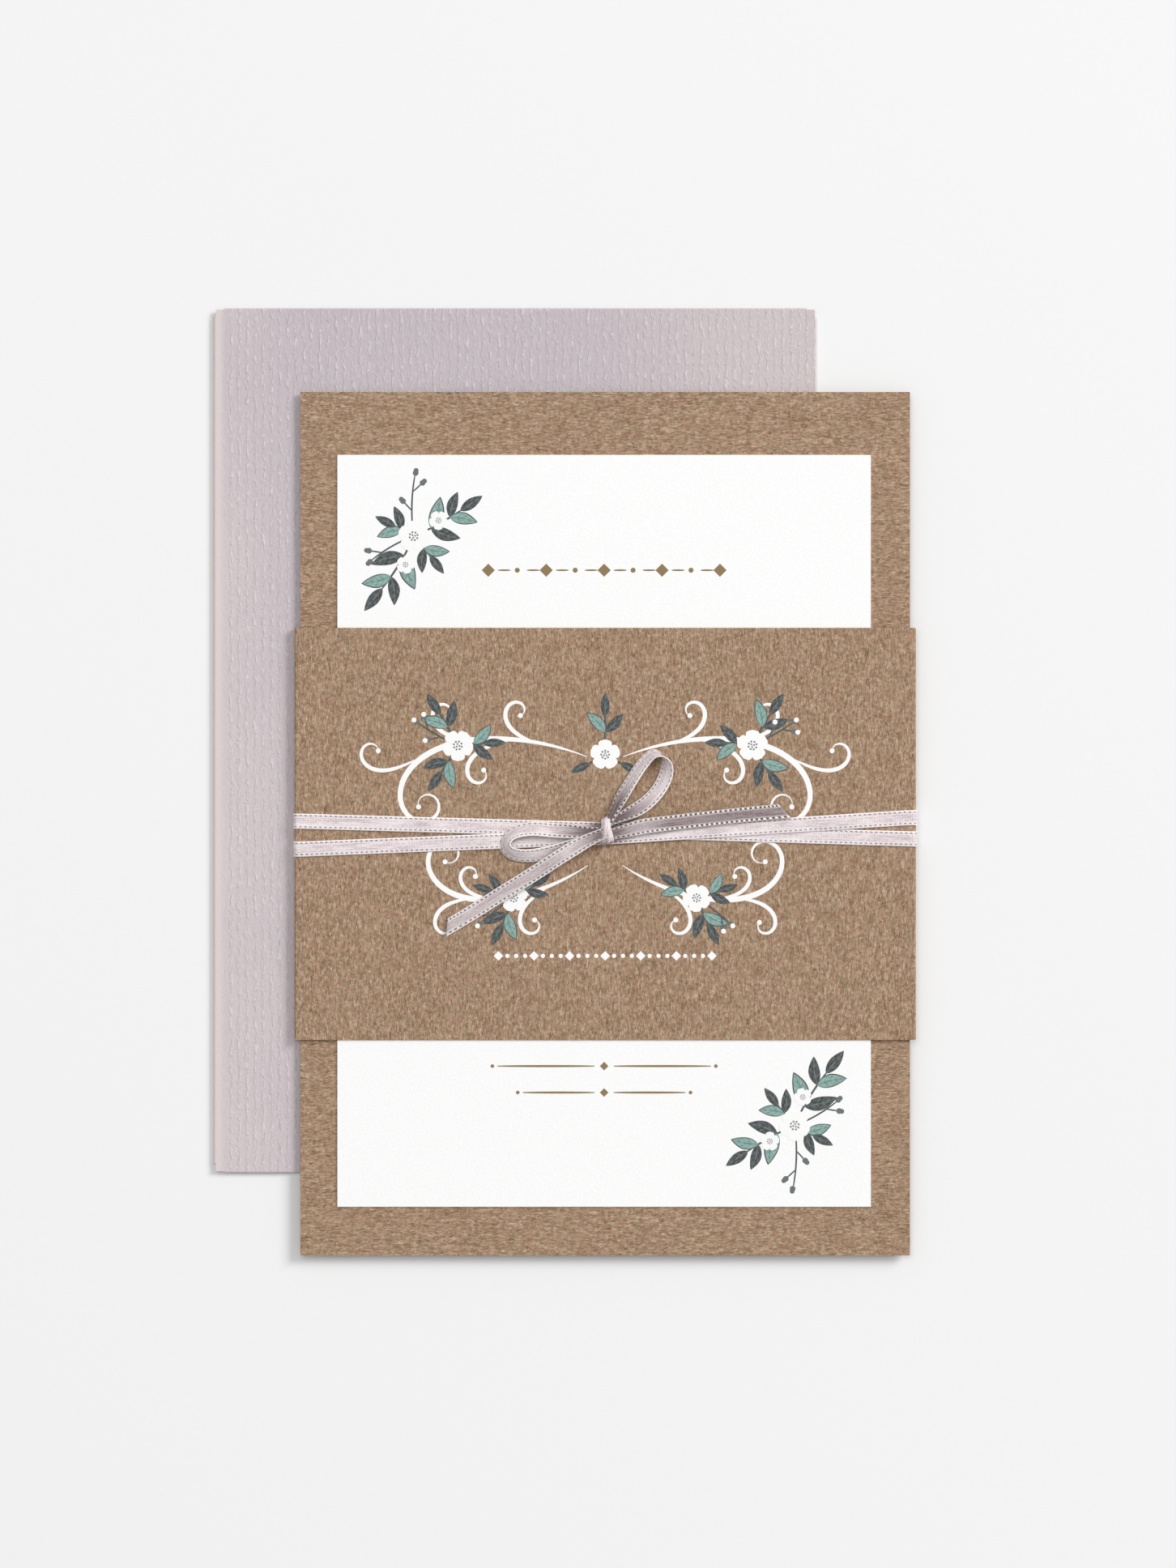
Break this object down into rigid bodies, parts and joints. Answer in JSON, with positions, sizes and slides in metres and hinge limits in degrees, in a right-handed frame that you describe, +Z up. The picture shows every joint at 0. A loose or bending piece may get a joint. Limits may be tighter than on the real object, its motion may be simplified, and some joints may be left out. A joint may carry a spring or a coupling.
{
  "type": "wedding invitation",
  "caption": "Wedding invitation lying flat: white card on a kraft backing card in a kraft belly band tied with a narrow satin ribbon bow, on its pearl paper envelope.",
  "frame": {"origin": "on the ground under the middle of the whole set's box", "axes": "+Z up out of the printed side, +Y towards the top of the card, +X to the right as it is read"},
  "size_m": [0.1386, 0.1866, 0.0059],
  "materials": {
    "pearl_paper": "satin",
    "kraft_card": "matte",
    "white_card": "matte",
    "kraft_paper": "matte",
    "satin_ribbon": "satin"
  },
  "bodies": {
    "card_stack": {"envelope": "pearl_paper", "kraft_card": "kraft_card", "white_insert_card": "white_card"},
    "band": {"belly_band": "kraft_paper", "satin_ribbon": "satin_ribbon"}
  },
  "joints": [
    {"name": "band_slide", "type": "slide", "parent": "card_stack", "child": "band", "axis": [0, 1, 0], "range_m": [-0.124, 0.128]}
  ]
}
